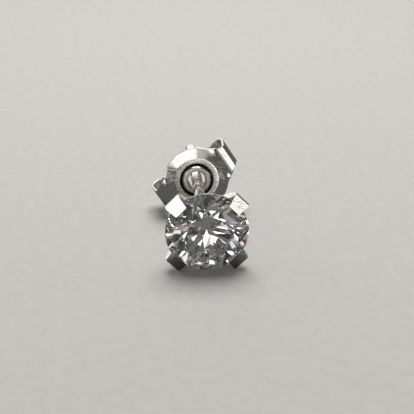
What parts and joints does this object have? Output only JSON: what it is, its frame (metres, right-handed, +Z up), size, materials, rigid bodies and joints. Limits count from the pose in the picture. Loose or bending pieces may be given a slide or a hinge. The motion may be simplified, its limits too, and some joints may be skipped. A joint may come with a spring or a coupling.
{
  "type": "stud earring",
  "caption": "Stud earring lying on a surface: a round brilliant stone in a silver prong basket with a soldered post, and a butterfly friction back that slides along the post.",
  "frame": {"origin": "on the surface that the earring lies on, under the middle of its box", "axes": "+Z up from the surface, the stone faces -Y, the post runs along +Y and rises by 1.6 degrees"},
  "size_m": [0.0076, 0.0186, 0.0065],
  "materials": {
    "clear_stone": "clear colourless faceted stone, polished",
    "polished_silver": "polished silver with fine scratches",
    "stamped_sheet": "bright stamped sheet metal, drawn and rolled"
  },
  "bodies": {
    "stud": {"stone": "clear_stone", "setting": "polished_silver"},
    "back": {"friction_back": "stamped_sheet"}
  },
  "joints": [
    {"name": "back_slide", "type": "slide", "parent": "stud", "child": "back", "axis": [0, 0.9996, 0.0274], "range_m": [-0.0057, 0.007]}
  ]
}
